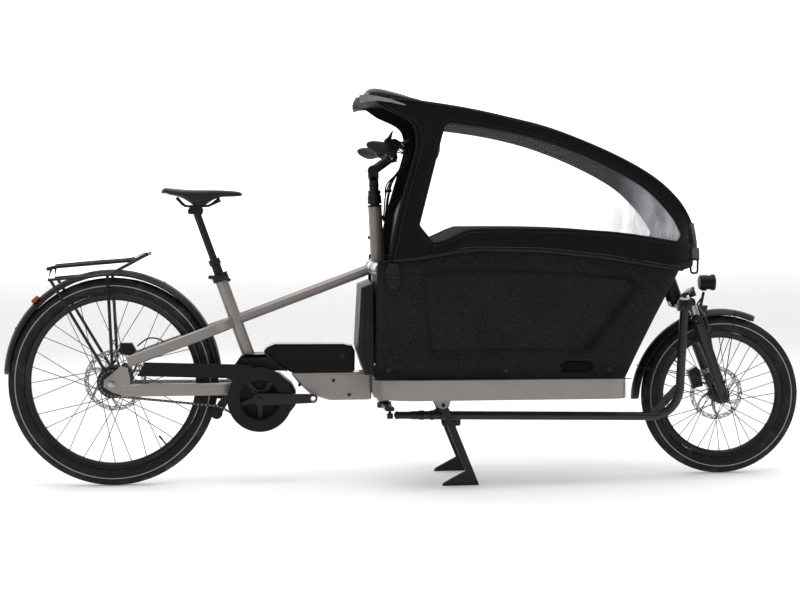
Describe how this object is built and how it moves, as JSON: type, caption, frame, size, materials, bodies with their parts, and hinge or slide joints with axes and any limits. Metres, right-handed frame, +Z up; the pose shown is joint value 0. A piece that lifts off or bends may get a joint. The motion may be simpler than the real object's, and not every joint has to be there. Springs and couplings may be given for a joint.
{
  "type": "cargo bicycle",
  "caption": "Two-wheeled front-loading cargo bicycle with a moulded box, rain canopy with side windows, remote rod steering, mid motor, rack and centre stand.",
  "frame": {"origin": "on the ground under the middle of the bicycle's bounding box", "axes": "+X forward, +Y to the rider's left, +Z up; the drive side faces -Y"},
  "size_m": [2.617, 0.67, 1.251],
  "materials": {
    "frame_paint": "satin warm grey paint",
    "black_metal": "black anodised and painted",
    "anthracite": "satin anthracite",
    "black_plastic": "moulded black",
    "dark_plastic": "moulded dark grey",
    "silver": "bright steel",
    "tyre": "black rubber",
    "box_foam": "fine textile-like grain on charcoal foam",
    "canopy_cloth": "black woven rain cloth",
    "window_film": "clear flexible film",
    "rubber": "soft black",
    "saddle_cover": "fine grained synthetic leather",
    "bench_cloth": "woven upholstery"
  },
  "bodies": {
    "frame": {"main_frame": "frame_paint", "chainstay_yoke": "frame_paint", "frame_mast": "frame_paint", "lower_beam": "frame_paint", "box_platform": "frame_paint", "front_upright": "black_metal", "box_side_left": "box_foam", "box_side_right": "box_foam", "box_tub": "dark_plastic", "rear_cover": "dark_plastic", "bench": "bench_cloth", "canopy_roof": "canopy_cloth", "canopy_side_left": "canopy_cloth", "canopy_side_right": "canopy_cloth", "window_left": "window_film", "window_right": "window_film", "motor_housing": "black_plastic", "rear_axle": "silver", "rear_mudguard": "anthracite", "rack": "black_metal", "rear_caliper": "black_metal", "chain": "silver", "chain_guard": "black_plastic", "tensioner_arm": "black_metal", "seat_clamp": "black_metal", "rear_brake_hose": "rubber", "control_hoses": "rubber"},
    "battery": {"battery": "black_plastic"},
    "column": {"steering_column": "black_metal", "stem": "black_metal", "handlebar": "black_metal", "grip_left": "rubber", "grip_right": "rubber"},
    "lever_left": {"brake_lever_left": "black_metal"},
    "lever_right": {"brake_lever_right": "black_metal"},
    "rod_joint": {"rod_end": "silver"},
    "rod": {"steering_rod": "anthracite"},
    "fork": {"fork_crown": "black_metal", "fork_arm": "black_metal"},
    "lamp": {"headlight": "black_plastic"},
    "fork_legs": {"fork_lowers": "anthracite", "front_axle": "silver", "front_caliper": "black_metal", "front_mudguard": "anthracite", "front_brake_hose": "rubber"},
    "wheel_front": {"front_tyre": "tyre", "front_wheel": "black_metal", "front_rotor": "silver"},
    "wheel_rear": {"rear_tyre": "tyre", "rear_wheel": "black_metal", "rear_rotor": "silver"},
    "sprocket": {"rear_sprocket": "silver"},
    "cranks": {"crank_left": "black_metal", "crank_right": "black_metal", "chainring": "black_metal"},
    "pulley": {"tensioner_pulley": "black_plastic"},
    "stand": {"kickstand": "black_metal"},
    "seatpost": {"seatpost_outer": "black_metal"},
    "saddle_post": {"seatpost_inner": "black_metal", "saddle": "saddle_cover"}
  },
  "joints": [
    {"name": "fork_steer", "type": "hinge", "parent": "frame", "child": "fork", "pos_m": [1.01301, 0, 0.25132], "axis": [-0.3338, 0, 0.9426], "range_deg": [-18, 18]},
    {"name": "column_steer", "type": "hinge", "parent": "frame", "child": "column", "pos_m": [-0.06578, 0, 0], "axis": [-0.0366, 0, 0.9993], "range_deg": [-18, 18], "deforming": ["control_hoses"]},
    {"name": "rod_swing", "type": "hinge", "parent": "column", "child": "rod_joint", "pos_m": [-0.06418, -0.13, 0.22921], "axis": [-0.0366, 0, 0.9993], "range_deg": [-18, 18]},
    {"name": "rod_pitch", "type": "hinge", "parent": "rod_joint", "child": "rod", "pos_m": [-0.06418, -0.13, 0.22921], "axis": [0, 1, 0], "range_deg": [-1, 1]},
    {"name": "fork_travel", "type": "slide", "parent": "fork", "child": "fork_legs", "axis": [-0.3338, 0, 0.9426], "range_m": [0, 0.03], "stiffness_N_per_m": 8000, "springref_m": -0.04},
    {"name": "front_wheel_spin", "type": "hinge", "parent": "fork_legs", "child": "wheel_front", "pos_m": [1.046, 0, 0.263], "axis": [0, 1, 0], "continuous": true},
    {"name": "rear_wheel_spin", "type": "hinge", "parent": "frame", "child": "wheel_rear", "pos_m": [-0.957, 0, 0.3395], "axis": [0, 1, 0], "continuous": true},
    {"name": "crank_spin", "type": "hinge", "parent": "frame", "child": "cranks", "pos_m": [-0.482, 0, 0.283], "axis": [0, 1, 0], "continuous": true},
    {"name": "sprocket_spin", "type": "hinge", "parent": "frame", "child": "sprocket", "pos_m": [-0.957, 0, 0.3395], "axis": [0, 1, 0], "continuous": true},
    {"name": "pulley_spin", "type": "hinge", "parent": "frame", "child": "pulley", "pos_m": [-0.623, 0, 0.236], "axis": [0, 1, 0], "continuous": true},
    {"name": "stand_fold", "type": "hinge", "parent": "frame", "child": "stand", "pos_m": [0.1056, 0, 0.261], "axis": [0, 1, 0], "range_deg": [0, 90]},
    {"name": "saddle_height", "type": "slide", "parent": "frame", "child": "seatpost", "axis": [-0.3277, 0, 0.9448], "range_m": [0, 0.06]},
    {"name": "saddle_dropper", "type": "slide", "parent": "seatpost", "child": "saddle_post", "axis": [-0.3277, 0, 0.9448], "range_m": [-0.09, 0]},
    {"name": "battery_lift", "type": "slide", "parent": "frame", "child": "battery", "axis": [0, 0, 1], "range_m": [0, 0.08]},
    {"name": "lever_left_pull", "type": "hinge", "parent": "column", "child": "lever_left", "pos_m": [-0.019, 0.172, 1.098], "axis": [-0.6, 0, 0.8], "range_deg": [0, 12], "stiffness_Nm_per_rad": 1.5, "springref_deg": -17.19},
    {"name": "lever_right_pull", "type": "hinge", "parent": "column", "child": "lever_right", "pos_m": [-0.019, -0.172, 1.098], "axis": [0.6, 0, -0.8], "range_deg": [0, 12], "stiffness_Nm_per_rad": 1.5, "springref_deg": -17.19},
    {"name": "headlight_tilt", "type": "hinge", "parent": "fork_legs", "child": "lamp", "pos_m": [0.995, 0, 0.61], "axis": [0, 1, 0], "range_deg": [-10, 10]}
  ],
  "couplings": [
    {"joint": "column_steer", "follows": "fork_steer", "ratio": 1},
    {"joint": "rod_swing", "follows": "fork_steer", "ratio": -1},
    {"joint": "rod_pitch", "follows": "fork_steer", "ratio": -0.0394},
    {"joint": "sprocket_spin", "follows": "crank_spin", "ratio": 2.122},
    {"joint": "pulley_spin", "follows": "crank_spin", "ratio": -3.7021}
  ]
}
